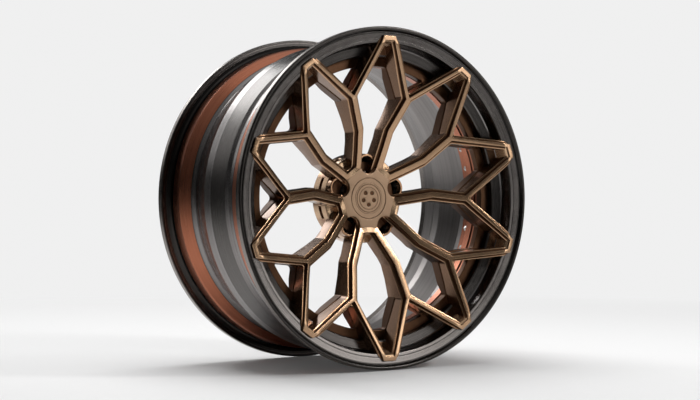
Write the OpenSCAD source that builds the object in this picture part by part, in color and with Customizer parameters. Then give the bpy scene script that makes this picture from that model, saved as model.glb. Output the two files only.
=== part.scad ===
// Forged three-piece racing wheel rim: spoked centre, step lip and inner barrel,
// with a centre cap and a clamp-in tyre valve. The wheel axis is Y, the outboard
// face looks towards -Y, +Z is up, and the origin is the middle of the wheel.

/* [Rim] */
// Nominal rim diameter in inches
rim_inches = 22; // [21.95:0.05:22.05]
// Nominal rim width between the flanges in inches
width_inches = 11; // [10.95:0.05:11.05]
// Height of the flange above the bead seat
flange_h = 17.5; // [17.3:0.1:17.8]
// Thickness of each flange along the axis
flange_t = 12.3; // [12:0.1:12.6]

/* [Spokes] */
// Width of the top land on an inner spoke
land_w = 10.5; // [8:0.5:12]
// Width of the top land on an outer arm
arm_land_w = 6.5; // [5:0.5:8]
// Width of the spoke body under its land
spoke_w = 22; // [18:0.5:24]
// Width of the arm body under its land
arm_w = 15; // [12:0.5:17]
// Depth of the step between a land and the body
land_step = 4; // [3:0.5:5]

/* [Hub] */
// Pitch circle diameter of the wheel studs
stud_pcd = 120; // [118:1:122]
// Radius of the stud holes
stud_hole_r = 7.5; // [7:0.1:7.8]
// Radius of the pockets that take the stud nuts
nut_pocket_r = 15.5; // [15:0.1:16]
// Radius of the hub bore
hub_bore_r = 36.3; // [35.5:0.1:36.8]
// Radius of the mounting pad
pad_r = 80; // [79.5:0.5:84]
// Depth of the mounting pad behind the front of the rim
pad_depth = 132; // [131:1:134]

/* [Assembly bolts] */
// Number of bolts that join the centre, lip and barrel
bolt_count = 40; // [30:5:40]
// Radius of a bolt shank
bolt_r = 3.5; // [3:0.1:3.5]

/* [Hidden] */
$fn = 96;

// overall rim: the bead seats are a little larger than the nominal diameter
seat_r = (rim_inches * 25.4 + 4.8) / 2;
flange_r = seat_r + flange_h;
rim_w = width_inches * 25.4 + 2 * flange_t;
half_w = rim_w / 2;
edge_r = 5.6;

// spokes: five V pairs, each spoke bending once and then forking into two arms
pairs = 5;
pair_step = 360 / pairs;
first_pair = 54;
first_stud = 18;
v_r = 57.5;
v_half = 14;
bend_r = 124;
bend_half = 21.2;
fork_r = 183;
fork_half = 18;
corner_r = 279.5;
corner_half = 2.2;
cap_bar_w = 8;
frame_extra_w = 5;

// joint between the centre, the lip and the barrel, as depths and radii
ring_front = 48;
ring_back = 62;
lip_back = 74;
barrel_flange_back = 90;
ring_in_r = 233;
ring_out_r = 249.5;
lip_in_r = 249.8;
lip_flange_r = 238;
barrel_flange_r = 236;
bolt_circle_r = 241.5;
bolt_end = 51;
washer_t = 1.2;
washer_r = 5.5;
bolt_head_r = 5.2;
bolt_head_h = 6;
seal_r = 258;
seal_w = 3.2;
seal_t = 2.4;

// hub and stud seats
hub_face = 69.8;
hub_column_r = 54;
pad_front = 88;
boss_r = 19.4;
boss_front = 76;
hub_bore_front = 110;
seat_front = 104;
seat_back = 124;
seat_insert_r = 12.5;

// centre cap
cap_r = 36.2;
cap_back = 74;
cap_bore_r = 32;
skirt_r = 31.7;
skirt_in_r = 28;
skirt_back = 92;
cap_groove_r = 30;
emblem_r = 27.7;

// tyre valve, which points at the wheel axis; lengths are measured from that axis
valve_depth = 106;
valve_hole_r = 5.75;
spot_out = 275.6;
spot_in = 270.6;
stem_tip = 238;
stem_neck = 250;
stem_head = 277.6;
stem_r = 4;

function polar(r, a) = [r * cos(a), r * sin(a)];
function backwards(v) = [for (i = [len(v) - 1 : -1 : 0]) v[i]];
function from_rear(v) = [for (p = v) [p[0], rim_w - p[1]]];

// stands a bench model, outboard side up, on its tread so that its axis is Y
module upright() rotate([90, 0, 0]) children();

// a turned solid from an outline of [radius, depth behind the front of the rim]
module turned(outline) {
  rotate_extrude($fn = 180) polygon([for (p = outline) [p[0], half_w - p[1]]]);
}

// a round bar along the wheel axis between two depths
module rod(r, d0, d1, sides = 48) {
  translate([0, 0, half_w - d1]) cylinder(r = r, h = d1 - d0, $fn = sides);
}

module on_studs() {
  for (k = [0 : pairs - 1]) rotate(first_stud + k * pair_step) translate([stud_pcd / 2, 0, 0]) children();
}

module on_bolts() {
  for (k = [0 : bolt_count - 1]) rotate((k + 0.5) * 360 / bolt_count) translate([bolt_circle_r, 0, 0]) children();
}

/* rim */

// outline of a flange from the inner edge of its face, round the rolled edge, to the bead seat
flange_outline = concat(
  [[272, 8], [289.2, 4.4], [290, 5.2], [290.8, 3.4]],
  [for (a = [90 : -18 : -90]) [flange_r - edge_r + edge_r * cos(a), edge_r - edge_r * sin(a)]],
  [[289, flange_t], [284, flange_t + 1.8], [seat_r, flange_t + 5]]
);

module outer_lip() color("dimgray") upright() difference() {
  turned(concat(
    flange_outline,
    [
      [seat_r - 1.5, 35], [seat_r - 0.6, 38], [seat_r - 0.6, 41],
      [277.5, 48], [273.5, 56], [272, 60], [272, lip_back],
      [lip_flange_r, lip_back], [lip_flange_r, ring_back], [lip_in_r, ring_back],
      [lip_in_r, 37.5], [251.5, 36], [266, 32], [267.8, 30.2], [270.6, 11]
    ]
  ));
  on_bolts() rod(bolt_r + 0.2, ring_back - 1, lip_back + 1, 24);
}

module inner_barrel() color("gray") upright() difference() {
  turned(concat(
    [
      [barrel_flange_r, lip_back], [272, lip_back], [272, 86], [276, 92],
      [277, 118], [279.5, 162], [264, 214], [262.5, 230], [279.4, 252],
      [seat_r - 0.6, 256], [seat_r - 0.6, 259], [seat_r - 1.5, 262]
    ],
    backwards(from_rear(flange_outline)),
    [
      [275.2, 286], [273.2, 255], [256.5, 232], [257.5, 213], [272.6, 163],
      [270.6, 120], [269.2, 97], [264, barrel_flange_back],
      [barrel_flange_r, barrel_flange_back]
    ]
  ));
  on_bolts() rod(bolt_r + 0.2, lip_back - 1, barrel_flange_back + 1, 24);
  seal_groove();
  along_valve() {
    translate([0, 0, spot_in - 30]) cylinder(r = 10.5, h = 30);
    translate([0, 0, spot_in - 1]) cylinder(r = valve_hole_r, h = 12);
    translate([0, 0, spot_out]) cylinder(r = 11, h = 12);
  }
}

module seal_groove() turned([
  [seal_r - seal_w / 2, lip_back - 1], [seal_r + seal_w / 2, lip_back - 1],
  [seal_r + seal_w / 2, lip_back + seal_t], [seal_r - seal_w / 2, lip_back + seal_t]
]);

// squashed sealing cord that fills the groove between the lip and the barrel
module rim_seal_ring() color("black") upright() turned([
  [seal_r - seal_w / 2 + 0.05, lip_back], [seal_r + seal_w / 2 - 0.05, lip_back],
  [seal_r + seal_w / 2 - 0.05, lip_back + seal_t - 0.05],
  [seal_r - seal_w / 2 + 0.05, lip_back + seal_t - 0.05]
]);

/* spoked centre */

// a flat bar with round ends between two points
module bar(p, q, w0, w1) {
  a = atan2(q[1] - p[1], q[0] - p[0]);
  n = [-sin(a), cos(a)] / 2;
  polygon([p + n * w0, p - n * w0, q - n * w1, q + n * w1]);
  translate(p) circle(d = w0, $fn = 16);
  translate(q) circle(d = w1, $fn = 16);
}

// plan of all the spokes: w_in at the hub, w_mid at the fork, w_arm on the arms
module spoke_plan(w_in, w_mid, w_arm, w_cap) {
  for (k = [0 : pairs - 1]) rotate(first_pair + k * pair_step) {
    for (s = [-1, 1]) {
      root = polar(v_r, s * v_half);
      bend = polar(bend_r, s * bend_half);
      fork = polar(fork_r, s * fork_half);
      bar(root, bend, w_in, w_mid);
      bar(bend, fork, w_mid, w_mid);
      bar(fork, polar(corner_r, s * corner_half), w_mid * 0.75, w_arm);
      bar(fork, polar(corner_r, s * (pair_step / 2 - corner_half)), w_mid * 0.75, w_arm);
    }
    bar(polar(v_r, -v_half), polar(v_r, v_half), w_in, w_in);
    bar(polar(corner_r, -corner_half), polar(corner_r, corner_half), w_cap, w_cap);
    bar(polar(corner_r, pair_step / 2 - corner_half),
        polar(corner_r, pair_step / 2 + corner_half), w_cap, w_cap);
  }
}

module land_plan() offset(r = -3, $fn = 16) offset(delta = 3) {
  spoke_plan(land_w, land_w + 1, arm_land_w, cap_bar_w);
  circle(r = hub_column_r, $fn = 60);
}

module body_plan() offset(r = -6, $fn = 16) offset(delta = 6) {
  spoke_plan(spoke_w, spoke_w + 1, arm_w, arm_w);
  circle(r = hub_column_r, $fn = 60);
}

// the deeper frame that ties the arms to the bolting ring, with round-cornered openings
module frame_plan() offset(r = -9, $fn = 20) offset(delta = 9) {
  spoke_plan(spoke_w, spoke_w + 2, arm_w + frame_extra_w, arm_w + frame_extra_w);
  difference() {
    circle(r = lip_in_r + 6, $fn = 60);
    circle(r = ring_in_r, $fn = 90);
  }
}

// face of the centre, falling towards the hub, as [radius, depth]
face_outline = [
  [0, hub_face], [53, hub_face], [90, 57.5], [135, 43], [fork_r, 27.5], [262, 4], [271, 1.5]
];

function lowered(v, by) = [for (p = v) [p[0], p[1] + by]];

module lands() intersection() {
  linear_extrude(rim_w) land_plan();
  turned(concat(face_outline, [[corner_r + 5, 1.5], [corner_r + 5, 4.2], [269, 4.2], [269, 7]],
    backwards(lowered([for (i = [0 : 5]) face_outline[i]], land_step + 1))));
}

// spokes and arms from under their lands to the back, inside the steps of the lip
module spoke_bodies() intersection() {
  translate([0, 0, half_w - pad_depth]) linear_extrude(rim_w) body_plan();
  turned(concat(lowered([for (i = [0 : 5]) face_outline[i]], land_step), [
    [269, 5.8], [269, 12], [266.5, 28.5], [265.5, 29.5], [251, 33], [248.8, 34],
    [248.8, 60], [ring_in_r, 60], [215, 74], [fork_r, 80], [150, 79], [110, 86], [pad_r, 98],
    [0, 98]
  ]));
}

module frame() intersection() {
  linear_extrude(rim_w, center = true) frame_plan();
  turned([
    [150, 62], [fork_r, 52], [215, 47], [248.8, 45], [248.8, 61], [ring_in_r, 61],
    [215, 74], [fork_r, 80], [150, 79]
  ]);
}

// inner end wall of each hollow tip, between its two arms
module tip_walls() intersection() {
  linear_extrude(half_w) for (k = [0 : 2 * pairs - 1]) rotate(first_stud + k * pair_step / 2)
    translate([262, -14]) square([10, 28]);
  turned([[268.8, 5], [268.8, 12], [266.3, 28.4], [262.8, 28.4], [265.2, 12], [265.2, 5]]);
}

module bolting_ring() turned([
  [ring_in_r, ring_front], [ring_out_r, ring_front], [ring_out_r, ring_back], [ring_in_r, ring_back]
]);

module hub() {
  turned([
    [0, hub_face + 1], [hub_column_r - 1, hub_face + 1], [hub_column_r - 1, pad_front],
    [pad_r, pad_front], [pad_r, pad_depth - 1.5], [pad_r - 1.5, pad_depth], [0, pad_depth]
  ]);
  on_studs() rod(boss_r, boss_front, pad_front + 1);
}

module forged_center() color("peru") upright() difference() {
  union() {
    lands();
    spoke_bodies();
    frame();
    tip_walls();
    bolting_ring();
    hub();
  }
  turned([
    [0, hub_face - 5], [cap_r + 0.3, hub_face - 5], [cap_r + 0.3, cap_back], [cap_bore_r, cap_back],
    [cap_bore_r, hub_bore_front], [hub_bore_r, hub_bore_front], [hub_bore_r, pad_depth - 1],
    [hub_bore_r + 1, pad_depth], [hub_bore_r + 1, pad_depth + 1], [0, pad_depth + 1]
  ]);
  on_studs() {
    rod(nut_pocket_r, hub_face - 20, seat_front);
    rod(seat_insert_r, seat_front - 1, seat_back);
    rod(stud_hole_r, seat_back - 1, pad_depth + 1);
  }
  rotate(pair_step / 2) on_studs() rod(10, pad_depth - 18, pad_depth + 1);
  on_bolts() rod(bolt_r + 0.05, bolt_end - 1, ring_back + 1, 24);
}

module assembly_bolts() color("darkgray") upright() on_bolts() {
  rod(bolt_r, bolt_end, barrel_flange_back + washer_t + 1, 24);
  rod(bolt_head_r, barrel_flange_back + washer_t, barrel_flange_back + washer_t + bolt_head_h, 6);
}

module bolt_washers() color("silver") upright() on_bolts() difference() {
  rod(washer_r, barrel_flange_back, barrel_flange_back + washer_t, 24);
  rod(bolt_r + 0.15, barrel_flange_back - 1, barrel_flange_back + washer_t + 1, 24);
}

// steel cone seats for the stud nuts
module lug_seat_inserts() color("dimgray") upright() on_studs() turned_seat();

module turned_seat() rotate_extrude() polygon([
  for (p = [
    [stud_hole_r + 0.1, seat_back], [seat_insert_r - 0.05, seat_back],
    [seat_insert_r - 0.05, seat_front], [seat_insert_r - 1, seat_front],
    [stud_hole_r + 0.1, seat_front + (seat_insert_r - stud_hole_r - 1.1) / tan(30)]
  ]) [p[0], half_w - p[1]]
]);

/* centre cap */

module cap_body() color("peru") upright() turned([
  [0, hub_face + 1.1], [emblem_r + 0.2, hub_face + 1.1], [emblem_r + 0.2, hub_face],
  [cap_r - 0.8, hub_face], [cap_r, hub_face + 0.8], [cap_r, cap_back],
  [skirt_r, cap_back], [skirt_r, 77], [cap_groove_r, 77], [cap_groove_r, 79.6],
  [skirt_r, 79.6], [skirt_r, 86], [cap_groove_r, 86], [cap_groove_r, 88.2],
  [skirt_r, 88.2], [skirt_r, skirt_back - 1.2], [skirt_r - 1.2, skirt_back],
  [skirt_in_r, skirt_back], [skirt_in_r, cap_back + 1], [0, cap_back + 1]
]);

// plain badge disc with a groove near its edge and a ring of five round dimples
module cap_emblem() color("burlywood") upright() difference() {
  turned([
    [0, hub_face + 0.1], [24.3, hub_face + 0.1], [24.5, hub_face + 0.5], [25.1, hub_face + 0.5],
    [25.3, hub_face + 0.1], [emblem_r, hub_face + 0.1], [emblem_r, hub_face + 1.1], [0, hub_face + 1.1]
  ]);
  for (k = [0 : pairs - 1]) rotate(first_pair + k * pair_step)
    translate([12, 0, 0]) rod(3, hub_face - 1, hub_face + 0.5);
}

module cap_snap_ring() color("silver") upright() difference() {
  rotate_extrude() translate([31.05, half_w - 87.1]) circle(r = 0.9, $fn = 24);
  translate([30, -3, half_w - 90]) cube([4, 6, 6]);
}

module cap_o_ring() color("black") upright() rotate_extrude()
  translate([31, half_w - 78.3]) circle(r = 0.95, $fn = 24);

/* tyre valve */

// points along the valve, away from the wheel axis, at the bottom of the rim
module along_valve() translate([0, 0, half_w - valve_depth]) rotate([90, 0, 0]) children();

module valve_turned(outline) upright() along_valve() rotate_extrude() polygon(outline);

module valve_stem() color("silver") valve_turned([
  [2.6, stem_tip], [3.85, stem_tip], [3.85, stem_neck], [stem_r, stem_neck + 0.5],
  [stem_r, stem_head], [8.5, stem_head], [8.5, stem_head + 2], [7.5, stem_head + 3],
  [1.6, stem_head + 3], [1.6, stem_neck], [2.6, stem_neck]
]);

module valve_grommet() color("black") valve_turned([
  [stem_r + 0.05, spot_in + 0.4], [valve_hole_r - 0.05, spot_in + 0.4],
  [valve_hole_r - 0.05, spot_out], [9, spot_out], [9, stem_head], [stem_r + 0.05, stem_head]
]);

module valve_washer() color("silver") valve_turned([
  [stem_r + 0.2, spot_in - 1.5], [8.5, spot_in - 1.5], [8.5, spot_in], [stem_r + 0.2, spot_in]
]);

module valve_nut() color("silver") upright() along_valve() translate([0, 0, spot_in - 5.7]) difference() {
  cylinder(r = 6.93, h = 4.2, $fn = 6);
  translate([0, 0, -1]) cylinder(r = stem_r + 0.05, h = 7);
}

module valve_core_body() color("gold") valve_turned([
  [1.6, 240], [2.5, 240], [2.5, 247], [2.1, 247.4], [2.1, stem_neck - 0.1],
  [0.75, stem_neck - 0.1], [0.75, 246], [1.6, 246]
]);

module valve_core_gasket() color("black") valve_turned([
  [2.15, 247.6], [2.55, 247.6], [2.55, 249.2], [2.15, 249.2]
]);

module valve_core_pin() color("gold") valve_turned([
  [0, 238.4], [0.6, 238.4], [0.6, 241], [1.4, 241], [1.4, 241.6], [0.6, 241.6],
  [0.6, 253], [0, 253]
]);

module valve_core_seal() color("black") valve_turned([
  [0.6, stem_neck], [1.4, stem_neck], [1.4, 251], [1.1, 251.8], [0.6, 251.8]
]);

// wire coil of the valve core: rings of points swept along a helix, with flat ends
coil_r = 1.1;
coil_wire_r = 0.2;
coil_turns = 4.5;
coil_start = 241.85;
coil_length = 3.9;
coil_steps = 72;
coil_sides = 6;

function coil_point(i, j) =
  let (a = i * 360 * coil_turns / coil_steps, b = j * 360 / coil_sides, r = coil_r + coil_wire_r * cos(b))
  [r * cos(a), r * sin(a), coil_start + i * coil_length / coil_steps + coil_wire_r * sin(b)];

module valve_core_spring() color("silver") upright() along_valve() polyhedron(
  points = [for (i = [0 : coil_steps]) for (j = [0 : coil_sides - 1]) coil_point(i, j)],
  faces = concat(
    [[for (j = [0 : coil_sides - 1]) j]],
    [for (i = [0 : coil_steps - 1]) for (j = [0 : coil_sides - 1]) [
      i * coil_sides + j, (i + 1) * coil_sides + j,
      (i + 1) * coil_sides + (j + 1) % coil_sides, i * coil_sides + (j + 1) % coil_sides
    ]],
    [[for (j = [coil_sides - 1 : -1 : 0]) coil_steps * coil_sides + j]]
  )
);

module valve_cap() color("black") valve_turned([
  [0, 234.2], [4.2, 234.2], [5, 235], [5, 248.5], [stem_r, 248.5], [stem_r, 236], [0, 236]
]);

module valve_cap_seal() color("dimgray") valve_turned([
  [0, 236], [3.8, 236], [3.8, stem_tip - 0.1], [0, stem_tip - 0.1]
]);

outer_lip();
inner_barrel();
rim_seal_ring();
forged_center();
assembly_bolts();
bolt_washers();
lug_seat_inserts();
cap_body();
cap_emblem();
cap_snap_ring();
cap_o_ring();
valve_stem();
valve_grommet();
valve_washer();
valve_nut();
valve_core_body();
valve_core_gasket();
valve_core_pin();
valve_core_seal();
valve_core_spring();
valve_cap();
valve_cap_seal();
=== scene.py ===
"""Forged three-piece racing wheel rim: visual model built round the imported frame."""
import math

import bpy
import bmesh
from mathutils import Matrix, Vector, geometry


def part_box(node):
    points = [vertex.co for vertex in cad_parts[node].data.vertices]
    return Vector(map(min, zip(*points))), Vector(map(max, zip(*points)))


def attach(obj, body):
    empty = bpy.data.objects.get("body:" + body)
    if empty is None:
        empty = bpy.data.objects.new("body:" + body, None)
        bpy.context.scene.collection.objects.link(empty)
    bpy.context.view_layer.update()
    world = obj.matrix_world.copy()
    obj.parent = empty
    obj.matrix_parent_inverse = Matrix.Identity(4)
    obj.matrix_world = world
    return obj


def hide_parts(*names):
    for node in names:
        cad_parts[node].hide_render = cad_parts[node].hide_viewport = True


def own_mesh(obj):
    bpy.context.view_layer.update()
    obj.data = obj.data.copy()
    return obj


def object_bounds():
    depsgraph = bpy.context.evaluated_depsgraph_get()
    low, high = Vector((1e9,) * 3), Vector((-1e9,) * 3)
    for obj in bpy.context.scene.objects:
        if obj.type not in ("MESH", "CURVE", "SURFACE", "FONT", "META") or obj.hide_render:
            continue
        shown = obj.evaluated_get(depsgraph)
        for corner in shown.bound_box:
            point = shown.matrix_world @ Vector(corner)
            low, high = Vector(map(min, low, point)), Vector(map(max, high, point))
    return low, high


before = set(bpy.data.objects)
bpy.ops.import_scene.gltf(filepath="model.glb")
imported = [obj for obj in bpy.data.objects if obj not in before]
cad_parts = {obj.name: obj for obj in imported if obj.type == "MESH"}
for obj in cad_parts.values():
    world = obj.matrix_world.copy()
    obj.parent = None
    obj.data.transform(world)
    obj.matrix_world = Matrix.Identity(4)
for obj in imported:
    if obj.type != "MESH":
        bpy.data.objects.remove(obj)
cad_lo, cad_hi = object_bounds()

MM = 0.001
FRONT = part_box("outer_lip")[0].y
WIDTH = round((cad_hi.y - FRONT) / MM, 3)
PAIRS = [54 + 72 * k for k in range(5)]
STUDS = [18 + 72 * k for k in range(5)]
TIPS = [18 + 36 * k for k in range(10)]
STUD_R = 60.0
POCKET_R, SEAT_R, STUD_HOLE_R = 15.5, 12.5, 7.5
CAP_BORE_R, HUB_BORE_R = 32.0, 36.3
HUB_FACE, PAD_FRONT, PAD_BACK = 69.8, 88.0, 132.0


# ---------------------------------------------------------------- points and profiles

def polar(r, a):
    return Vector((r * math.cos(math.radians(a)), r * math.sin(math.radians(a))))


def spun(p, a):
    c, s = math.cos(math.radians(a)), math.sin(math.radians(a))
    return Vector((c * p[0] - s * p[1], s * p[0] + c * p[1]))


def place(x, z, d):
    """A point from the front-view plan (mm) and its depth behind the front of the rim."""
    return (x * MM, FRONT + d * MM, z * MM)


def along(table, r):
    """Straight-line interpolation in a table of (radius, value)."""
    if r <= table[0][0]:
        return table[0][1]
    for (r0, v0), (r1, v1) in zip(table, table[1:]):
        if r <= r1:
            return v0 + (v1 - v0) * (r - r0) / (r1 - r0)
    return table[-1][1]


def ease(r, r0, r1):
    """A smooth step from 0 at r0 to 1 at r1."""
    t = min(1.0, max(0.0, (r - r0) / (r1 - r0)))
    return t * t * (3 - 2 * t)


# depth of the front and back of the spokes at each radius
FACE = [(0, 71.4), (53, 71.4), (90, 57.8), (135, 43), (183, 27.5), (262, 4), (271, 1.6), (290, 1.4)]
BACK = [(53, 100), (80, 98), (110, 86), (150, 79), (183, 78), (215, 72), (233, 61), (290, 61)]


# ---------------------------------------------------------------- mesh builders

def add_object(name, verts, faces, mat_ids, mats, body="rim", slot=None, replaces=()):
    mesh = bpy.data.meshes.new(name)
    mesh.from_pydata(verts, [], faces)
    for m in mats:
        mesh.materials.append(m)
    mesh.polygons.foreach_set("material_index", mat_ids)
    mesh.polygons.foreach_set("use_smooth", [True] * len(faces))
    mesh.update()
    obj = bpy.data.objects.new(name, mesh)
    bpy.context.scene.collection.objects.link(obj)
    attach(obj, body)
    if replaces:
        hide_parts(*replaces)
    return obj


def soften(corners, closed=True):
    """Rounds an outline of (radius, depth, fillet, material), giving [(r, d, nr, nd, material)].

    The material is that of the stretch that starts at the corner."""
    n = len(corners)
    area = sum(corners[i][0] * corners[(i + 1) % n][1] - corners[(i + 1) % n][0] * corners[i][1]
               for i in range(n))
    side = 1.0 if area > 0 else -1.0
    out = []
    for i, (r, d, f, m) in enumerate(corners):
        p = Vector((r, d))
        a = Vector(corners[i - 1][:2])
        b = Vector(corners[(i + 1) % n][:2])
        if not closed and i == 0:
            v = (b - p).normalized()
            out.append((r, d, side * v.y, -side * v.x, m))
            continue
        if not closed and i == n - 1:
            u = (p - a).normalized()
            out.append((r, d, side * u.y, -side * u.x, m))
            continue
        before = corners[i - 1][3]
        u, v = (p - a), (b - p)
        lu, lv = u.length, v.length
        u.normalize()
        v.normalize()
        turn = math.acos(max(-1.0, min(1.0, u.dot(v))))
        if turn < 0.02:
            out.append((r, d, side * u.y, -side * u.x, m))
            continue
        t = min(f * math.tan(turn / 2), 0.45 * lu, 0.45 * lv)
        steps = max(2, int(math.degrees(turn) / 18) + 1)
        start, end = p - u * t, p + v * t
        for k in range(steps + 1):
            s = k / steps
            q = start * (1 - s) ** 2 + p * (2 * s * (1 - s)) + end * s ** 2
            w = u * (1 - s) + v * s
            w.normalize()
            out.append((q.x, q.y, side * w.y, -side * w.x, before if s < 0.5 else m))
    return out


def lathe(name, outlines, mats, centre=(0.0, 0.0), segs=288, closed=True, **kw):
    """Turns outlines about axes along the wheel's own, one solid for each centre and outline."""
    verts, normals, faces, ids = [], [], [], []
    centres = centre if isinstance(centre, list) else [centre]
    for cx, cz in centres:
        for corners in outlines:
            pts = soften(corners, closed)
            rings = []
            for r, d, nr, nd, m in pts:
                if r < 1e-6:
                    rings.append([len(verts)] * segs)
                    verts.append(place(cx, cz, d))
                    normals.append((0, nd, 0))
                    continue
                rings.append(list(range(len(verts), len(verts) + segs)))
                for j in range(segs):
                    a = 2 * math.pi * j / segs
                    c, s = math.cos(a), math.sin(a)
                    verts.append(place(cx + r * c, cz + r * s, d))
                    normals.append((nr * c, nd, nr * s))
            last = len(pts) if closed else len(pts) - 1
            for i in range(last):
                p, q = rings[i], rings[(i + 1) % len(pts)]
                for j in range(segs):
                    k = (j + 1) % segs
                    f = [p[j], p[k], q[k], q[j]]
                    f = [v for t, v in enumerate(f) if v not in f[:t]]
                    if len(f) > 2:
                        faces.append(f)
                        ids.append(pts[i][4])
    obj = add_object(name, verts, faces, ids, mats, **kw)
    fix_normals(obj, normals)
    return obj


def fix_normals(obj, normals=None):
    """Makes the faces of closed solids look outwards, then sets the exact corner normals."""
    bm = bmesh.new()
    bm.from_mesh(obj.data)
    bmesh.ops.recalc_face_normals(bm, faces=bm.faces)
    bm.to_mesh(obj.data)
    bm.free()
    if normals:
        obj.data.normals_split_custom_set_from_vertices(
            [Vector(n).normalized() for n in normals])


def offset_lines(pts, dists):
    """Shifts every edge of a polygon to its left by its own distance."""
    n = len(pts)
    lines = []
    for i in range(n):
        p, q = pts[i], pts[(i + 1) % n]
        u = (q - p).normalized()
        lines.append((p + Vector((-u.y, u.x)) * dists[i], u))
    out = []
    for i in range(n):
        (p, u), (q, v) = lines[i - 1], lines[i]
        cross = u.x * v.y - u.y * v.x
        w = q - p
        out.append(p + u * ((w.x * v.y - w.y * v.x) / cross))
    return out


def dense(pts, radii, counts, arc=6):
    """Rounds the corners and samples the sides, always with the same number of points."""
    n = len(pts)
    ends = []
    for i in range(n):
        p, a, b = pts[i], pts[i - 1], pts[(i + 1) % n]
        u, v = (p - a), (b - p)
        lu, lv = u.length, v.length
        u.normalize()
        v.normalize()
        turn = math.acos(max(-1.0, min(1.0, u.dot(v))))
        t = min(radii[i] * math.tan(turn / 2), 0.46 * lu, 0.46 * lv)
        start, end = p - u * t, p + v * t
        ends.append([start * (1 - s) ** 2 + p * (2 * s * (1 - s)) + end * s ** 2
                     for s in [k / arc for k in range(arc + 1)]])
    out = []
    for i in range(n):
        out += ends[i]
        p, q = ends[i][-1], ends[(i + 1) % n][0]
        out += [p.lerp(q, k / counts[i]) for k in range(1, counts[i])]
    return out


def shell(name, loops, mats, mat_of=None, **kw):
    """A closed solid from loops of rings: the first ring of each loop bounds the front face and the
    last ring bounds the back. The first loop is the outside, and the others are holes."""
    verts, faces, ids = [], [], []
    first, last = [], []
    for rings in loops:
        base = len(verts)
        n = len(rings[0])
        for ring in rings:
            verts += [place(*p) for p in ring]
        for k in range(len(rings) - 1):
            for j in range(n):
                a, b = base + k * n + j, base + k * n + (j + 1) % n
                faces.append([a, b, b + n, a + n])
                ids.append(mat_of(len(first), k) if mat_of else 0)
        first.append(list(range(base, base + n)))
        last.append(list(range(base + (len(rings) - 1) * n, base + len(rings) * n)))
    for cap in (first, last):
        flat = [i for loop in cap for i in loop]
        spots = [Vector((verts[i][0] / MM, verts[i][2] / MM)) for i in flat]
        polys, at = [], 0
        for loop in cap:
            polys.append(list(range(at, at + len(loop))))
            at += len(loop)
        made = geometry.delaunay_2d_cdt(spots, [], polys, 0, 1e-4, True)
        v_out, f_out, v_from, f_from = made[0], made[2], made[3], made[5]
        back = [flat[o[0]] if o else None for o in v_from]
        for face, inside in zip(f_out, f_from):
            if 0 in inside and len(inside) == 1:
                tri = [back[i] for i in face]
                if None not in tri:
                    faces.append(tri)
                    ids.append(0)
    obj = add_object(name, verts, faces, ids, mats, **kw)
    fix_normals(obj)
    soft = obj.modifiers.new("normals", "WEIGHTED_NORMAL")
    soft.keep_sharp = True
    soft.weight = 60
    mark_sharp(obj, 38)
    return obj


def mark_sharp(obj, degrees):
    """Keeps edges that turn by more than this many degrees as hard lines."""
    bm = bmesh.new()
    bm.from_mesh(obj.data)
    limit = math.radians(degrees)
    for e in bm.edges:
        if len(e.link_faces) == 2:
            e.smooth = e.calc_face_angle(0) < limit
    bm.to_mesh(obj.data)
    bm.free()


# ---------------------------------------------------------------- materials

def new_material(name):
    m = bpy.data.materials.new(name)
    m.use_nodes = True
    t = m.node_tree
    t.nodes.clear()
    out = t.nodes.new("ShaderNodeOutputMaterial")
    p = t.nodes.new("ShaderNodeBsdfPrincipled")
    t.links.new(p.outputs[0], out.inputs[0])
    return m, t, p


class Nodes:
    """Short names for the few node kinds that the materials use."""

    def __init__(self, tree):
        self.t = tree
        self.coord = tree.nodes.new("ShaderNodeTexCoord").outputs["Object"]

    def put(self, kind, **inputs):
        n = self.t.nodes.new(kind)
        for k, v in inputs.items():
            self.set(n.inputs[k.replace("_", " ")], v)
        return n

    def set(self, socket, v):
        if isinstance(v, bpy.types.NodeSocket):
            self.t.links.new(v, socket)
        else:
            socket.default_value = v

    def math(self, op, a, b=0.0):
        n = self.t.nodes.new("ShaderNodeMath")
        n.operation = op
        self.set(n.inputs[0], a)
        self.set(n.inputs[1], b)
        return n.outputs[0]

    def noise(self, vector, scale, detail=3.0, rough=0.55):
        n = self.put("ShaderNodeTexNoise", Vector=vector, Scale=scale, Detail=detail, Roughness=rough)
        return n.outputs["Fac"]

    def ramp(self, fac, low, high, out_low=0.0, out_high=1.0):
        n = self.t.nodes.new("ShaderNodeMapRange")
        self.set(n.inputs["Value"], fac)
        for k, v in (("From Min", low), ("From Max", high), ("To Min", out_low), ("To Max", out_high)):
            self.set(n.inputs[k], v)
        return n.outputs[0]

    def mix(self, fac, a, b):
        n = self.t.nodes.new("ShaderNodeMix")
        n.data_type = "RGBA"
        self.set(n.inputs[0], fac)
        self.set(n.inputs[6], a if isinstance(a, bpy.types.NodeSocket) else (*a, 1.0))
        self.set(n.inputs[7], b if isinstance(b, bpy.types.NodeSocket) else (*b, 1.0))
        return n.outputs[2]

    def turned(self):
        """Coordinates in which a lathe's marks are lines: radius and depth, with no angle."""
        s = self.put("ShaderNodeSeparateXYZ", Vector=self.coord)
        x, y, z = s.outputs
        r = self.math("SQRT", self.math("ADD", self.math("MULTIPLY", x, x), self.math("MULTIPLY", z, z)))
        c = self.t.nodes.new("ShaderNodeCombineXYZ")
        self.set(c.inputs[0], r)
        self.set(c.inputs[1], y)
        return c.outputs[0]

    def bump(self, height, strength, distance):
        n = self.put("ShaderNodeBump", Height=height, Strength=strength, Distance=distance)
        return n.outputs[0]

    def edge(self):
        """Pointiness mask of sharp convex edges, used to paint a highlight along them."""
        g = self.t.nodes.new("ShaderNodeNewGeometry")
        return self.ramp(g.outputs["Pointiness"], 0.505, 0.56)


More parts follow.
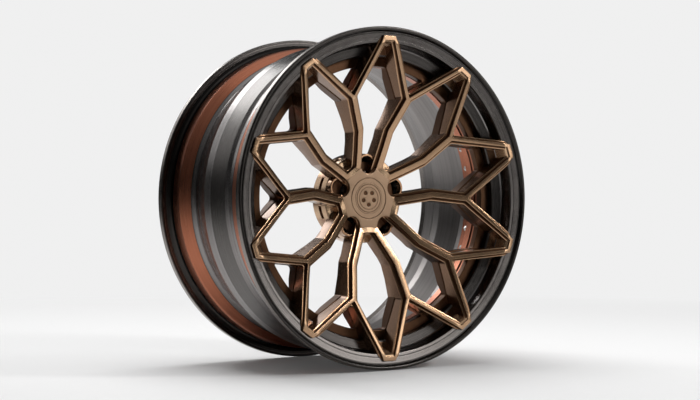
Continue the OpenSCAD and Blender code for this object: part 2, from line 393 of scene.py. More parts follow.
def turned_metal(name, color, dark, rough, grain=1.0):
    """Metal that was finished on a lathe: fine circular lines and faint blotches."""
    m, t, p = new_material(name)
    n = Nodes(t)
    ring = n.turned()
    fine = n.noise(ring, 2600.0, 2.0, 0.6)
    broad = n.noise(ring, 260.0, 3.0, 0.5)
    cloud = n.noise(n.coord, 9.0, 4.0, 0.6)
    speck = n.noise(n.coord, 900.0, 2.0, 0.5)
    shade = n.math("ADD", n.math("MULTIPLY", fine, 0.45 * grain), n.math("MULTIPLY", broad, 0.55))
    shade = n.math("ADD", n.math("MULTIPLY", shade, 0.75), n.math("MULTIPLY", cloud, 0.25))
    base = n.mix(n.ramp(shade, 0.3, 0.7), dark, color)
    n.set(p.inputs["Base Color"], base)
    p.inputs["Metallic"].default_value = 1.0
    lines = n.ramp(fine, 0.2, 0.8, rough - 0.06, rough + 0.07)
    n.set(p.inputs["Roughness"], n.math("ADD", lines, n.ramp(cloud, 0.3, 0.7, -0.03, 0.04)))
    p.inputs["Anisotropic"].default_value = 0.55
    tangent = t.nodes.new("ShaderNodeTangent")
    tangent.direction_type = "RADIAL"
    tangent.axis = "Y"
    n.set(p.inputs["Tangent"], tangent.outputs[0])
    height = n.math("ADD", n.math("MULTIPLY", fine, 0.7), n.math("MULTIPLY", speck, 0.3))
    n.set(p.inputs["Normal"], n.bump(height, 0.12 * grain, 0.0002))
    return m


def satin_paint(name, color, dark, rough, coat=0.25, painted_edge_highlight=None):
    """Metallic satin paint: fine flake, slow colour drift and, when an edge colour is given, a painted
    highlight: a lighter line along sharp edges.
    """
    m, t, p = new_material(name)
    n = Nodes(t)
    flake = n.noise(n.coord, 2200.0, 2.0, 0.7)
    drift = n.noise(n.coord, 14.0, 4.0, 0.55)
    peel = n.noise(n.coord, 420.0, 3.0, 0.5)
    base = n.mix(n.ramp(n.math("ADD", n.math("MULTIPLY", flake, 0.5), n.math("MULTIPLY", drift, 0.5)),
                        0.32, 0.68), dark, color)
    # painted highlight: the edge colour is mixed in where the surface is pointy, standing in for light caught
    # by the edges
    if painted_edge_highlight:
        base = n.mix(n.math("MULTIPLY", n.edge(), 0.55), base, painted_edge_highlight)
    n.set(p.inputs["Base Color"], base)
    p.inputs["Metallic"].default_value = 0.9
    n.set(p.inputs["Roughness"], n.math("ADD", n.ramp(flake, 0.2, 0.8, rough - 0.04, rough + 0.05),
                                        n.ramp(drift, 0.3, 0.7, -0.02, 0.03)))
    p.inputs["Coat Weight"].default_value = coat
    p.inputs["Coat Roughness"].default_value = 0.16
    n.set(p.inputs["Normal"], n.bump(n.math("ADD", n.math("MULTIPLY", flake, 0.35),
                                            n.math("MULTIPLY", peel, 0.65)), 0.10, 0.00025))
    return m


def soft_rubber(name, color=(0.018, 0.018, 0.018)):
    """Dull black rubber or plastic with fine grit and a little dust."""
    m, t, p = new_material(name)
    n = Nodes(t)
    grit = n.noise(n.coord, 1500.0, 4.0, 0.6)
    dust = n.noise(n.coord, 60.0, 4.0, 0.6)
    n.set(p.inputs["Base Color"], n.mix(n.ramp(dust, 0.45, 0.8), color, tuple(c * 2.2 for c in color)))
    n.set(p.inputs["Roughness"], n.ramp(grit, 0.2, 0.8, 0.55, 0.8))
    n.set(p.inputs["Normal"], n.bump(grit, 0.25, 0.0002))
    return m


def plated(name, color, rough):
    """Plated or machined small metal parts, with fine tool marks and random darker stains."""
    m, t, p = new_material(name)
    n = Nodes(t)
    marks = n.noise(n.coord, 1800.0, 3.0, 0.6)
    stain = n.noise(n.coord, 130.0, 4.0, 0.6)
    dark = tuple(c * 0.55 for c in color)
    n.set(p.inputs["Base Color"], n.mix(n.ramp(stain, 0.3, 0.7), dark, color))
    p.inputs["Metallic"].default_value = 1.0
    n.set(p.inputs["Roughness"], n.ramp(marks, 0.2, 0.8, rough - 0.06, rough + 0.08))
    n.set(p.inputs["Normal"], n.bump(marks, 0.18, 0.0001))
    return m


GUN = turned_metal("gunmetal", (0.29, 0.272, 0.265), (0.15, 0.14, 0.137), 0.24)
GUN_DARK = turned_metal("gunmetal_dark", (0.125, 0.113, 0.105), (0.060, 0.055, 0.052), 0.26, 0.8)
LIP_BLACK = turned_metal("lip_black", (0.062, 0.056, 0.052), (0.032, 0.029, 0.027), 0.22, 0.5)
COPPER = turned_metal("copper_band", (0.44, 0.165, 0.095), (0.30, 0.105, 0.060), 0.28)
LIP_FACE = turned_metal("lip_face", (0.31, 0.282, 0.265), (0.155, 0.14, 0.13), 0.26)
BARREL_IN = turned_metal("barrel_inside", (0.31, 0.29, 0.28), (0.19, 0.177, 0.172), 0.32, 0.8)
# bronze paint: the first below carries a painted highlight along sharp edges; the next two are darker copies
# of it, painted shade for the spoke steps, deep walls, frame and small recesses
BRONZE = satin_paint("bronze", (0.345, 0.182, 0.092), (0.205, 0.103, 0.050), 0.23, painted_edge_highlight=(0.85, 0.60, 0.38))
BRONZE_PAINTED_SHADE = satin_paint("bronze_painted_shade", (0.115, 0.055, 0.027), (0.060, 0.028, 0.014), 0.40, coat=0.0)
BRONZE_WALL_PAINTED_SHADE = satin_paint("bronze_wall_painted_shade", (0.20, 0.104, 0.052), (0.115, 0.057, 0.028), 0.24)
CAP_BRONZE = satin_paint("cap_bronze", (0.36, 0.235, 0.145), (0.26, 0.165, 0.10), 0.36, coat=0.15)
# near-black paint for the stud pocket walls, a painted shade in those recesses
POCKET_PAINTED_SHADE = satin_paint("pocket_painted_shade", (0.030, 0.022, 0.018), (0.015, 0.012, 0.010), 0.35)
STEEL = plated("zinc_steel", (0.52, 0.51, 0.49), 0.30)
BLACK_STEEL = plated("black_steel", (0.06, 0.055, 0.05), 0.34)
BRASS = plated("core_brass", (0.72, 0.50, 0.22), 0.28)
ALLOY = plated("valve_alloy", (0.60, 0.60, 0.61), 0.26)
RUBBER = soft_rubber("black_rubber")
CAP_PLASTIC = soft_rubber("valve_cap_plastic", (0.028, 0.028, 0.028))


# ---------------------------------------------------------------- rim

# an outline's corners are (radius, depth, fillet, material of the stretch that starts there)
G, D, K, C, F, B = range(6)
RIM_MATS = [GUN, GUN_DARK, LIP_BLACK, COPPER, LIP_FACE, BARREL_IN]

flange = [
    (272.0, 8.0, 1.2, F), (276.5, 7.1, 0.5, D), (277.2, 7.5, 0.2, D), (277.9, 6.9, 0.3, F),
    (287.0, 4.9, 0.3, D), (289.0, 4.5, 0.3, K), (289.5, 5.5, 0.3, K), (290.5, 5.5, 0.3, K),
    (291.0, 4.1, 0.4, K), (293.6, 0.0, 3.0, K), (299.3, 0.0, 4.6, F), (299.3, 12.3, 4.5, D),
    (294.0, 12.3, 0.2, F), (293.2, 12.3, 0.2, D), (289.0, 12.3, 1.2, K), (284.0, 14.1, 1.5, K),
    (281.8, 17.3, 1.5, F),
]
lip = flange + [
    (281.0, 22.0, 1.0, C), (280.3, 35.0, 0.6, C), (281.2, 38.0, 1.5, C), (281.2, 41.0, 1.5, C),
    (278.2, 46.6, 0.4, K), (277.2, 46.9, 0.3, C), (276.4, 49.8, 0.4, C),
    (273.5, 56.0, 2.0, G), (272.0, 60.0, 2.0, C), (272.0, 73.6, 0.3, K), (271.2, 74.0, 0.2, G),
    (238.0, 74.0, 0.4, C), (238.0, 62.0, 0.4, D), (249.8, 62.0, 0.3, D), (249.8, 37.5, 0.6, D),
    (251.5, 36.0, 0.8, D), (266.0, 32.0, 0.8, G), (267.8, 30.2, 0.8, G), (270.6, 11.0, 1.5, D),
]
lathe("outer_lip_turned", [lip], RIM_MATS, slot="rim_dark", replaces=("outer_lip",))


def from_rear(outline):
    """The same flange at the rear: the outline is mirrored, and each stretch keeps its material."""
    mirrored = [(r, WIDTH - d, f) for r, d, f, m in outline]
    kinds = [m for r, d, f, m in outline]
    flipped = list(reversed(mirrored))
    return [(*p, kinds[max(0, len(kinds) - 2 - i)]) for i, p in enumerate(flipped)]


barrel = [
    (236.0, 74.0, 0.4, G), (271.2, 74.0, 0.3, K), (272.0, 74.6, 0.3, G), (272.0, 86.0, 3.0, G),
    (276.0, 92.0, 3.0, D), (277.0, 118.0, 1.2, D), (278.2, 140.0, 0.2, K), (278.26, 141.0, 0.2, G),
    (279.5, 162.0, 2.5, G), (264.0, 214.0, 8.0, G), (262.5, 228.0, 3.0, G), (264.6, 231.5, 1.0, G),
    (267.2, 235.2, 0.2, K), (267.9, 236.1, 0.2, C), (279.4, 252.0, 3.0, C), (281.2, 256.0, 1.5, C),
    (281.2, 259.0, 1.5, C), (280.3, 262.0, 1.0, C), (281.2, 280.0, 1.0, K),
] + from_rear(flange) + [
    (275.2, 286.0, 4.0, B), (273.2, 255.0, 6.0, B), (256.5, 232.0, 8.0, B), (257.5, 213.0, 8.0, B),
    (272.6, 163.0, 4.0, B), (272.0, 151.0, 0.5, C), (270.6, 120.0, 4.0, B),
    (269.2, 97.0, 3.0, B), (264.0, 90.0, 0.8, B), (236.0, 90.0, 0.4, C),
]
lathe("inner_barrel_turned", [barrel], RIM_MATS, slot="rim_dark", replaces=("inner_barrel",))


# ---------------------------------------------------------------- spoked centre

# centre lines of a spoke and its arm, as (radius, angle from the middle of the pair or of the tip)
ROOT, BEND, FORK, CORNER = (57.5, 14.0), (124.0, 21.2), (183.0, 18.0), (279.5, 2.2)
BETWEEN = 36
V_SIDE = [polar(ROOT[0], -ROOT[1]), polar(BEND[0], -BEND[1]), polar(FORK[0], -FORK[1]),
          polar(CORNER[0], -CORNER[1])]
P_SIDE = [polar(ROOT[0], ROOT[1] - BETWEEN), polar(BEND[0], BEND[1] - BETWEEN),
          polar(FORK[0], FORK[1] - BETWEEN), polar(CORNER[0], -CORNER[1])]
HUB_END = 42.7


def both_sides(side):
    """A side and its mirror image, as one outline that goes round."""
    return side + [Vector((p.x, -p.y)) for p in reversed(side)]


def there_and_back(values):
    return list(values) + list(reversed(values))


def v_window(s, a, cap_in, root_in, radii):
    """Window between the two spokes of a pair, along +x."""
    cap = V_SIDE[3].x - cap_in
    root = root_in - V_SIDE[0].x
    ring = offset_lines(both_sides(V_SIDE), [s, s, a, cap, a, s, s, root])
    return dense(ring, there_and_back(radii), [16, 14, 24, 4, 24, 14, 16, 4])


def pair_window(s, a, cap_in, hub_end, radii):
    """Window between two neighbouring pairs, along +x, which is a stud's direction."""
    root, bend = P_SIDE[:2]
    hub = root + (root - bend) * ((root.x - HUB_END) / (bend.x - root.x))
    cap = P_SIDE[3].x - cap_in
    ring = offset_lines(both_sides([hub] + P_SIDE[1:]), [s, s, a, cap, a, s, s, hub_end - HUB_END])
    return dense(ring, there_and_back(radii), [20, 14, 24, 4, 24, 14, 20, 4], arc=10)


def star(a, cap_out, r_cap, r_fork):
    """Outside of the arms: ten blunt tips with a fork between neighbours."""
    pts, dists, radii, counts = [], [], [], []
    cap = V_SIDE[3].x - cap_out
    for t in TIPS:
        pts += [polar(CORNER[0], t - CORNER[1]), polar(CORNER[0], t + CORNER[1]), polar(FORK[0], t + 18)]
        dists += [cap, -a, -a]
        radii += [r_cap, r_cap, r_fork]
        counts += [4, 26, 26]
    return dense(offset_lines(pts, dists), radii, counts)


def step(r):
    """Drop from the raised land to the shelf on each side of it."""
    return 7.2 - 3.2 * ease(r, 183, 262)


def tip_depth(r, near, share):
    """Depth of a level that is fixed near the lip and a share of the wall further in."""
    top, bottom = along(FACE, r) + step(r) + 1.6, along(BACK, r)
    return (top + (bottom - top) * share) * (1 - ease(r, 215, 240)) + near * ease(r, 215, 240)


LAND_R = (3.0, 3.0, 2.0, 1.2)
BODY_R = (6.0, 12.0, 7.0, 2.0)
# depth rule, half width of spoke and arm, cap line inside and outside, root line, hub line, fillets
LEVELS = [
    (lambda r: along(FACE, r), 4.0, 2.3, 276.2, 282.6, 60.0, 41.8, LAND_R, 2.0, 2.0),
    (lambda r: along(FACE, r) + 0.30, 4.6, 2.8, 275.6, 283.2, 60.6, 42.3, LAND_R, 2.4, 2.0),
    (lambda r: along(FACE, r) + 1.0, 4.9, 3.05, 275.3, 283.6, 60.9, 42.6, LAND_R, 2.6, 2.0),
    (lambda r: along(FACE, r) + step(r) - 1.2, 5.3, 3.2, 275.0, 283.6, 61.2, 42.8, LAND_R, 2.6, 2.2),
    (lambda r: along(FACE, r) + step(r), 6.4, 3.9, 274.6, 282.2, 61.9, 42.8, LAND_R, 2.6, 2.8),
    (lambda r: along(FACE, r) + step(r) + 0.1, 8.6, 5.6, 274.2, 279.0, 62.8, 42.85, BODY_R, 2.2, 4.0),
    (lambda r: along(FACE, r) + step(r) + 0.2, 10.0, 6.8, 273.6, 276.5, 63.3, 42.9, BODY_R, 2.0, 5.0),
    (lambda r: along(FACE, r) + step(r) + 0.6, 10.7, 7.4, 273.4, 275.0, 63.8, 42.9, BODY_R, 2.0, 5.4),
    (lambda r: along(FACE, r) + step(r) + 1.6, 11.0, 7.6, 273.2, 274.4, 64.0, 42.9, BODY_R, 2.0, 5.6),
    (lambda r: tip_depth(r, 30.0, 0.35), 11.5, 8.0, 273.0, 274.0, 64.4, 43.2, BODY_R, 2.0, 8.0),
    (lambda r: tip_depth(r, 35.0, 0.50), 11.7, 8.2, 252.5, 253.5, 64.8, 43.4, BODY_R, 2.0, 9.0),
    (lambda r: along(BACK, r) - 1.6, 12.0, 8.5, 252.5, 253.5, 65.0, 43.6, BODY_R, 2.0, 10.0),
    (lambda r: along(BACK, r), 10.8, 7.3, 252.5, 253.5, 63.8, 43.0, BODY_R, 2.0, 9.0),
]


def leveled(pts, depth, turn=0.0):
    """Turns points round the axis and gives each the depth for its radius."""
    out = []
    for p in pts:
        q = spun(p, turn)
        out.append((q.x, q.y, depth(q.length)))
    return out


def circle_ring(r, d, n=120, cx=0.0, cz=0.0):
    return [(cx + r * math.cos(2 * math.pi * j / n), cz + r * math.sin(2 * math.pi * j / n), d)
            for j in range(n)]


outer, windows = [], [[] for _ in range(10)]
for depth, s, a, cap_in, cap_out, root_in, hub_end, radii, r_cap, r_fork in LEVELS:
    outer.append(leveled(star(a, cap_out, r_cap, r_fork), depth))
    v_pts = v_window(s, a, cap_in, root_in, radii)
    p_pts = pair_window(s, a, cap_in, hub_end, (17.0,) + radii[1:])
    for k in range(5):
        windows[k].append(leveled(v_pts, depth, PAIRS[k]))
        windows[5 + k].append(leveled(p_pts, depth, STUDS[k]))
core = [circle_ring(39.0, 71.4), circle_ring(39.0, 100.0)]


def spoke_painted_shade(which, k):
    """Bright land and shelf; the step between them and the strip of shelf at its foot are painted dark as a
    painted shadow line, and the walls are painted a middle tone as painted shade.
    """
    if 2 <= k <= 4:
        return 1
    return 2 if k >= 8 else 0


shell("forged_center_spokes", [outer] + windows + [core], [BRONZE, BRONZE_PAINTED_SHADE, BRONZE_WALL_PAINTED_SHADE],
      mat_of=spoke_painted_shade, slot="center_bronze", replaces=("forged_center",))

# deeper frame and bolting ring, all in the dark copy of the bronze as painted shade
RING_IN = 233.0
FRAME_FRONT = [(0, 90), (80, 90), (110, 82), (150, 66), (183, 54), (215, 49), (233, 48), (250, 48)]
FRAME_BACK = [(0, 95), (80, 95), (110, 84.5), (150, 77.5), (183, 76), (215, 71), (233, 62), (250, 62)]


def on_ring(p, u, r):
    """Where the line from p along u meets a circle of radius r."""
    b = p.dot(u)
    return p + u * (-b + math.sqrt(b * b - p.dot(p) + r * r))


def arc_between(p, q, n=5):
    a0, a1 = math.atan2(p.y, p.x), math.atan2(q.y, q.x)
    return [Vector((p.length * math.cos(a0 + (a1 - a0) * k / n), p.length * math.sin(a0 + (a1 - a0) * k / n)))
            for k in range(n + 1)]


def frame_window(side, s, a, first, ring_r, r_in, r_mid, r_out):
    """A spoke window that ends on the bolting ring instead of in a tip."""
    ring = offset_lines(both_sides(side), [s, s, a, 0.0, a, s, s, first])
    low = on_ring(ring[2], (ring[3] - ring[2]).normalized(), ring_r)
    curve = arc_between(low, Vector((low.x, -low.y)))
    poly = ring[:3] + curve + ring[5:]
    radii = [r_in, r_mid, r_mid, r_out] + [0.0] * (len(curve) - 2) + [r_out, r_mid, r_mid, r_in]
    counts = [14, 12, 16] + [5] * (len(curve) - 1) + [16, 12, 14, 4]
    return dense(poly, radii, counts, arc=8)


def triangle_window(a, ring_r, r_fork, r_out):
    """Opening between the two arms of a fork, along +x."""
    tip = Vector((FORK[0], 0.0))
    low = polar(CORNER[0], -(18 - CORNER[1]))
    pts = [tip, low, Vector((low.x, -low.y))]
    ring = offset_lines(pts, [a, 0.0, a])
    u = (ring[1] - ring[0]).normalized()
    p = on_ring(ring[0], u, ring_r)
    curve = arc_between(p, Vector((p.x, -p.y)), 8)
    poly = [ring[0]] + curve
    radii = [r_fork, r_out] + [0.0] * (len(curve) - 2) + [r_out]
    counts = [14] + [4] * (len(curve) - 1) + [14]
    return dense(poly, radii, counts, arc=8)


frame_loops = [[circle_ring(249.3, 48.6, 288), circle_ring(249.5, 49.4, 288), circle_ring(249.5, 61.4, 288),
                circle_ring(249.0, 62.0, 288)]]
BEVEL = [(1.4, 0.0), (0.4, 0.4), (0.0, 1.4)]
steps = [(k, "front", drop) for k, drop in BEVEL] + [(k, "back", -drop) for k, drop in reversed(BEVEL)]


def frame_depth(kind, drop):
    table = FRAME_FRONT if kind == "front" else FRAME_BACK
    return lambda r: along(table, r) + drop


for angle, side in ([(p, V_SIDE) for p in PAIRS] + [(p, P_SIDE) for p in STUDS]
                    + [(t + 18, None) for t in TIPS]):
    rings = []
    for grow, kind, drop in steps:
        if side:
            pts = frame_window(side, 8.0 - grow, 9.6 - grow, 12.0, RING_IN + grow, 6, 10, 8)
        else:
            pts = triangle_window(9.6 - grow, RING_IN + grow, 9, 8)
        rings.append(leveled(pts, frame_depth(kind, drop), angle))
    frame_loops.append(rings)
frame_loops.append([circle_ring(50.0, 90.0), circle_ring(50.0, 95.0)])
shell("forged_center_frame", frame_loops, [BRONZE_PAINTED_SHADE], slot="center_bronze")

# end walls of the hollow tips
verts, faces = [], []
WALL_HALF = 14.0
WALL = [(274.6, 3.9), (273.4, 4.2), (270.3, 9.0), (265.2, 28.6), (266.0, 29.6), (272.6, 29.8), (273.6, 9.0),
        (276.0, 4.6)]
for t in TIPS:
    base = len(verts)
    for y in (-WALL_HALF, WALL_HALF):
        for r, d in WALL:
            q = spun(Vector((r, y)), t)
            verts.append(place(q.x, q.y, d))
    n = len(WALL)
    faces += [[base + i, base + (i + 1) % n, base + n + (i + 1) % n, base + n + i] for i in range(n)]
    faces += [[base + i for i in range(n)], [base + n + i for i in reversed(range(n))]]
walls = add_object("forged_center_tip_walls", verts, faces, [0] * len(faces), [BRONZE], slot="center_bronze")
fix_normals(walls)
mark_sharp(walls, 20)


# hub column with a five-sided face, scalloped round the stud pockets
def hub_outline(apothem, pocket):
    """Dense outline: straight across each V, hollow round each stud."""
    out = []
    stud = polar(STUD_R, BETWEEN)
    for p in PAIRS:
        dy = math.sqrt(pocket ** 2 - (apothem - stud.x) ** 2)
        y = stud.y - dy
        side = [Vector((apothem, -y + 2 * y * k / 8)) for k in range(8)]
        a0 = math.atan2(y - stud.y, apothem - stud.x)
        a1 = math.radians(2 * BETWEEN) - a0
        while a1 > a0:
            a1 -= 2 * math.pi
        angles = [a0 + (a1 - a0) * k / 26 for k in range(26)]
        curve = [stud + Vector((math.cos(t), math.sin(t))) * pocket for t in angles]
        out += [spun(q, p) for q in side + curve]
    return out


hub_rings = [leveled(hub_outline(52.5 - g, 16.9 + g), lambda r, d=d: d)
             for g, d in ((0.9, HUB_FACE), (0.3, 70.05), (0.0, 70.7), (-0.2, 88.5))]
recess = [circle_ring(r, d) for r, d in (
    (37.1, HUB_FACE), (36.7, 70.0), (36.5, 70.4), (36.5, 74.0), (CAP_BORE_R, 74.0), (CAP_BORE_R, 88.5))]
shell("forged_center_hub", [hub_rings, recess], [CAP_BRONZE], slot="center_bronze")


# mounting pad: stud pockets from the front, stud holes, bore, and hollows round its side
def slotted(r, d, depth, n=360):
    """A circle with a shallow hollow in line with each tip."""
    out = []
    for j in range(n):
        a = 360.0 * j / n
        off = min(abs((a - t + 180) % 360 - 180) for t in TIPS)
        cut = 1 - ease(off, 6.5, 8.5)
        rr = r - depth * cut
        out.append((rr * math.cos(math.radians(a)), rr * math.sin(math.radians(a)), d))
    return out


pad_outer = [slotted(r, d, depth) for r, d, depth in (
    (77.5, PAD_FRONT, 0), (79.4, 88.7, 0), (80.0, 90.5, 0), (80.0, 104.0, 0), (80.0, 104.6, 5),
    (80.0, 112.4, 5), (80.0, 113.0, 0), (80.0, 130.4, 0), (79.5, 131.5, 0), (78.3, PAD_BACK, 0))]
hub_bore = [circle_ring(r, d) for r, d in (
    (CAP_BORE_R, PAD_FRONT), (CAP_BORE_R, 110.0), (HUB_BORE_R, 110.0), (HUB_BORE_R, 131.0),
    (HUB_BORE_R + 1.0, PAD_BACK))]
pad_loops = [pad_outer, hub_bore]
stud_centres = [tuple(polar(STUD_R, t)) for t in STUDS]
for cx, cz in stud_centres:
    pad_loops.append([circle_ring(r, d, 64, cx, cz) for r, d in (
        (POCKET_R, PAD_FRONT), (POCKET_R, 104.0), (SEAT_R, 104.0), (SEAT_R, 124.0), (STUD_HOLE_R, 124.0),
        (STUD_HOLE_R, 131.3), (STUD_HOLE_R + 0.8, PAD_BACK))])
# the stud pocket and hole walls are painted near black as painted shade
shell("forged_center_pad", pad_loops, [BRONZE, POCKET_PAINTED_SHADE],
      mat_of=lambda which, k: 1 if which > 1 and k < 5 else 0, slot="center_bronze")

boss = [(POCKET_R, 75.8, 0.6, 0), (19.4, 75.8, 1.4, 0), (19.6, 89.0, 0.3, 0), (POCKET_R, 89.0, 0.3, 0)]
lathe("forged_center_bosses", [boss], [BRONZE], centre=stud_centres, segs=72, slot="center_bronze")

insert = [(7.6, 124.0, 0.3, 0), (12.45, 124.0, 0.3, 0), (12.45, 104.0, 0.4, 0), (11.5, 104.0, 0.3, 0),
          (7.6, 110.75, 0.5, 0)]
lathe("lug_seat_inserts_turned", [insert], [BLACK_STEEL], centre=stud_centres, segs=72, slot="seat_steel",
      replaces=("lug_seat_inserts",))


# ---------------------------------------------------------------- centre cap

cap = [
    (0, 71.1, 0, 1), (27.9, 71.1, 0.2, 0), (27.9, 69.9, 0.25, 0), (35.3, HUB_FACE, 0.6, 0),
    (36.2, 70.7, 0.4, 0), (36.2, 74.0, 0.2, 0), (31.7, 74.0, 0.2, 0), (31.7, 77.0, 0.2, 0),
    (30.0, 77.0, 0.2, 0), (30.0, 79.6, 0.2, 0), (31.7, 79.6, 0.2, 0), (31.7, 86.0, 0.2, 0),
    (30.0, 86.0, 0.2, 0), (30.0, 88.2, 0.2, 0), (31.7, 88.2, 0.2, 0), (31.7, 90.8, 0.3, 0),
    (30.5, 92.0, 0.3, 0), (28.0, 92.0, 0.3, 0), (28.0, 75.0, 1.0, 0), (0, 75.0, 0, 0),
]
# the cap's recessed front face, seen through the emblem disc's holes, takes the dark copy of the bronze as
# painted shade
lathe("cap_body_turned", [cap], [CAP_BRONZE, BRONZE_PAINTED_SHADE], segs=160, closed=False, body="center_cap",
      slot="center_bronze", replaces=("cap_body",))
# the emblem ring's two shallow grooves take the dark copy of the bronze as painted shade
emblem = [(18.6, 69.9, 0.1, 0), (19.3, 69.9, 0.1, 1), (19.55, 70.35, 0.1, 1), (19.95, 70.35, 0.1, 1),
          (20.2, 69.9, 0.1, 0), (24.3, 69.9, 0.15, 1), (24.6, 70.5, 0.1, 1), (25.1, 70.5, 0.1, 1),
          (25.4, 69.9, 0.15, 0), (27.5, 69.9, 0.3, 0), (27.7, 71.1, 0.1, 0), (18.6, 71.1, 0, 0)]
lathe("cap_emblem_turned", [emblem], [CAP_BRONZE, BRONZE_PAINTED_SHADE], segs=160, body="center_cap",
      slot="emblem_bronze", replaces=("cap_emblem",))
disc = [[circle_ring(18.5, 69.9, 160), circle_ring(18.6, 70.0, 160), circle_ring(18.6, 71.1, 160)]]
for p in PAIRS:
    c = polar(11.5, p)
    disc.append([circle_ring(r, d, 48, c.x, c.y) for r, d in ((4.3, 69.9), (3.9, 70.2), (3.9, 71.1))])
# the walls of the disc's five holes take the dark copy of the bronze as painted shade
shell("cap_emblem_disc", disc, [CAP_BRONZE, BRONZE_PAINTED_SHADE],
      mat_of=lambda which, k: 1 if which and k else 0, body="center_cap", slot="emblem_bronze")


# ---------------------------------------------------------------- carried-over CAD nodes

def wear(node, material):
    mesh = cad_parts[node].data
    mesh.materials.clear()
    mesh.materials.append(material)


for node, material in {
    "rim_seal_ring": RUBBER, "assembly_bolts": STEEL, "bolt_washers": STEEL,
    "cap_snap_ring": STEEL, "cap_o_ring": RUBBER, "valve_stem": ALLOY, "valve_grommet": RUBBER,
    "valve_washer": ALLOY, "valve_nut": ALLOY, "valve_core_body": BRASS, "valve_core_gasket": RUBBER,
    "valve_core_pin": BRASS, "valve_core_seal": RUBBER,
    "valve_cap": CAP_PLASTIC, "valve_cap_seal": RUBBER,
}.items():
    wear(node, material)


def coil_spring(name, low, high, coil_r, wire_r, turns, around=20, sides=10):
    """A helix of round wire along Z, between two heights at the valve's own place."""
    verts, faces = [], []
    steps = int(turns * around)
    for i in range(steps + 1):
        a = 2 * math.pi * i / around
        z = low + wire_r + (high - low - 2 * wire_r) * i / steps
        for j in range(sides):
            b = 2 * math.pi * j / sides
            r = coil_r + wire_r * math.cos(b)
            verts.append((r * math.cos(a), VALVE_Y + r * math.sin(a), z + wire_r * math.sin(b)))
    for i in range(steps):
        for j in range(sides):
            a, b = i * sides + j, i * sides + (j + 1) % sides
            faces.append([a, b, b + sides, a + sides])
    faces += [list(range(sides)), list(range(steps * sides, (steps + 1) * sides))]
    obj = add_object(name, verts, faces, [0] * len(faces), [STEEL], slot="bolt_steel",
                     replaces=("valve_core_spring",))
    fix_normals(obj)
    return obj


# the valve core's spring, which shortens as its pin is pressed, is built as a fixed coil
spring_lo, spring_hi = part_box("valve_core_spring")
VALVE_Y = (spring_lo.y + spring_hi.y) / 2
spring = coil_spring("valve_core_spring_coil", spring_lo.z, spring_hi.z, 1.1 * MM, 0.2 * MM, 4.5)
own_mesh(spring)


# ---------------------------------------------------------------- floor, lights and camera

BACKDROP = 0.87
PAPER_GLOW = 0.05


def build_floor():
    """Pale paper: what the camera sees is flat and bright, and what the metal mirrors is dimmer."""
    size, n = 40.0, 64
    z = cad_lo.z - 0.0006
    ring = [(size * math.cos(2 * math.pi * j / n), size * math.sin(2 * math.pi * j / n), z) for j in range(n)]
    mesh = bpy.data.meshes.new("floor")
    mesh.from_pydata(ring, [], [list(range(n))])
    m, t, p = new_material("floor_paper")
    t.nodes.remove(p)
    n_ = Nodes(t)
    grain = n_.noise(n_.coord, 40.0, 4.0, 0.5)
    length = t.nodes.new("ShaderNodeVectorMath")
    length.operation = "LENGTH"
    t.links.new(n_.coord, length.inputs[0])
    far_seen = n_.ramp(length.outputs["Value"], 0.65, 2.1)
    far_bounced = n_.ramp(length.outputs["Value"], 0.8, 2.8)
    paper = n_.put("ShaderNodeBsdfDiffuse", Color=n_.mix(grain, (0.765, 0.765, 0.765), (0.785, 0.785, 0.785)))
    grey = n_.put("ShaderNodeBsdfDiffuse", Color=n_.mix(grain, (0.90, 0.90, 0.90), (0.92, 0.92, 0.92)))
    glow = n_.put("ShaderNodeEmission", Strength=PAPER_GLOW)
    lit = t.nodes.new("ShaderNodeAddShader")
    t.links.new(paper.outputs[0], lit.inputs[0])
    t.links.new(glow.outputs[0], lit.inputs[1])
    horizon = n_.put("ShaderNodeEmission", Strength=BACKDROP)
    seen = n_.put("ShaderNodeMixShader", Fac=far_seen)
    t.links.new(lit.outputs[0], seen.inputs[1])
    t.links.new(horizon.outputs[0], seen.inputs[2])
    dim = n_.put("ShaderNodeEmission", Strength=0.05)
    bounced = n_.put("ShaderNodeMixShader", Fac=far_bounced)
    t.links.new(grey.outputs[0], bounced.inputs[1])
    t.links.new(dim.outputs[0], bounced.inputs[2])
    path = t.nodes.new("ShaderNodeLightPath")
    mix = n_.put("ShaderNodeMixShader", Fac=path.outputs["Is Camera Ray"])
    t.links.new(bounced.outputs[0], mix.inputs[1])
    t.links.new(seen.outputs[0], mix.inputs[2])
    out = [q for q in t.nodes if q.type == "OUTPUT_MATERIAL"][0]
    t.links.new(mix.outputs[0], out.inputs[0])
    mesh.materials.append(m)
    floor = bpy.data.objects.new("floor", mesh)
    bpy.context.scene.collection.objects.link(floor)


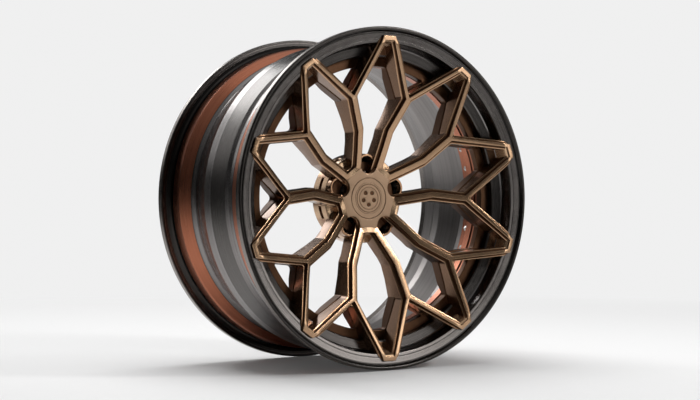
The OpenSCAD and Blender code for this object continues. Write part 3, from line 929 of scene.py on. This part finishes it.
def build_world():
    world = bpy.data.worlds.new("studio")
    bpy.context.scene.world = world
    world.use_nodes = True
    t = world.node_tree
    t.nodes.clear()
    out = t.nodes.new("ShaderNodeOutputWorld")
    seen = t.nodes.new("ShaderNodeBackground")
    seen.inputs[0].default_value = (1.0, 1.0, 1.0, 1.0)
    seen.inputs[1].default_value = BACKDROP
    room = t.nodes.new("ShaderNodeBackground")
    coord = t.nodes.new("ShaderNodeTexCoord")
    sep = t.nodes.new("ShaderNodeSeparateXYZ")
    ramp = t.nodes.new("ShaderNodeValToRGB")
    height = t.nodes.new("ShaderNodeMapRange")
    height.inputs["From Min"].default_value = -1.0
    t.links.new(coord.outputs["Generated"], sep.inputs[0])
    t.links.new(sep.outputs["Z"], height.inputs["Value"])
    t.links.new(height.outputs[0], ramp.inputs[0])
    stops = [(0.0, 0.2), (0.47, 0.04), (0.52, 0.008), (0.68, 0.03), (0.82, 0.20), (1.0, 0.40)]
    ramp.color_ramp.elements[0].position, ramp.color_ramp.elements[1].position = stops[0][0], stops[-1][0]
    ramp.color_ramp.elements[0].color = (stops[0][1],) * 3 + (1.0,)
    ramp.color_ramp.elements[1].color = (stops[-1][1],) * 3 + (1.0,)
    for pos, v in stops[1:-1]:
        ramp.color_ramp.elements.new(pos).color = (v, v, v, 1.0)
    t.links.new(ramp.outputs[0], room.inputs[0])
    path = t.nodes.new("ShaderNodeLightPath")
    mix = t.nodes.new("ShaderNodeMixShader")
    t.links.new(path.outputs["Is Camera Ray"], mix.inputs[0])
    t.links.new(room.outputs[0], mix.inputs[1])
    t.links.new(seen.outputs[0], mix.inputs[2])
    t.links.new(mix.outputs[0], out.inputs[0])


def softbox(name, place_at, aim, size, power, color=(1.0, 1.0, 1.0)):
    light = bpy.data.lights.new(name, "AREA")
    light.shape = "RECTANGLE"
    light.size, light.size_y = size
    light.energy = power
    light.color = color
    obj = bpy.data.objects.new(name, light)
    bpy.context.scene.collection.objects.link(obj)
    obj.location = place_at
    obj.rotation_euler = (Vector(aim) - Vector(place_at)).to_track_quat("-Z", "Y").to_euler()
    return obj


def build_camera():
    """Stands off the wheel's front left at hub height; the wheel sits a little right of centre."""
    azimuth, distance, focal = math.radians(33.8), 2.733, 80.6
    away = Vector((-math.sin(azimuth), -math.cos(azimuth), 0.0))
    centre = Vector((0.0, FRONT + 0.0056, 0.0))
    cam = bpy.data.cameras.new("camera")
    cam.sensor_width = 36.0
    cam.lens = focal
    cam.shift_x = -0.0556
    obj = bpy.data.objects.new("camera", cam)
    bpy.context.scene.collection.objects.link(obj)
    obj.location = centre + away * distance + Vector((0.0, 0.0, -0.003))
    obj.rotation_euler = (-away).to_track_quat("-Z", "Y").to_euler()
    bpy.context.scene.camera = obj


build_floor()
build_world()
build_camera()
softbox("overhead", (0.1, 0.5, 2.7), (0.0, 0.0, 0.0), (2.4, 1.8), 60).visible_glossy = False
softbox("top_soft", (0.0, 0.3, 2.6), (0.0, 0.0, 0.0), (2.2, 1.8), 7)
softbox("behind_high", (-0.24, 2.5, 1.62), (0.0, 0.0, 0.0), (1.3, 0.6), 13)
softbox("behind_mid", (-1.25, 2.5, 1.1), (0.0, 0.0, 0.0), (0.9, 0.9), 2.4)
softbox("front_right", (1.75, -2.5, 0.6), (0.0, 0.0, 0.0), (0.8, 1.5), 10)
softbox("front_high", (1.6, -2.0, 1.5), (0.0, 0.0, 0.0), (0.5, 0.35), 26)
softbox("left_high", (-1.0, 2.0, 2.35), (0.0, 0.0, 0.0), (0.35, 0.5), 9)
bpy.context.scene.view_settings.view_transform = "Standard"
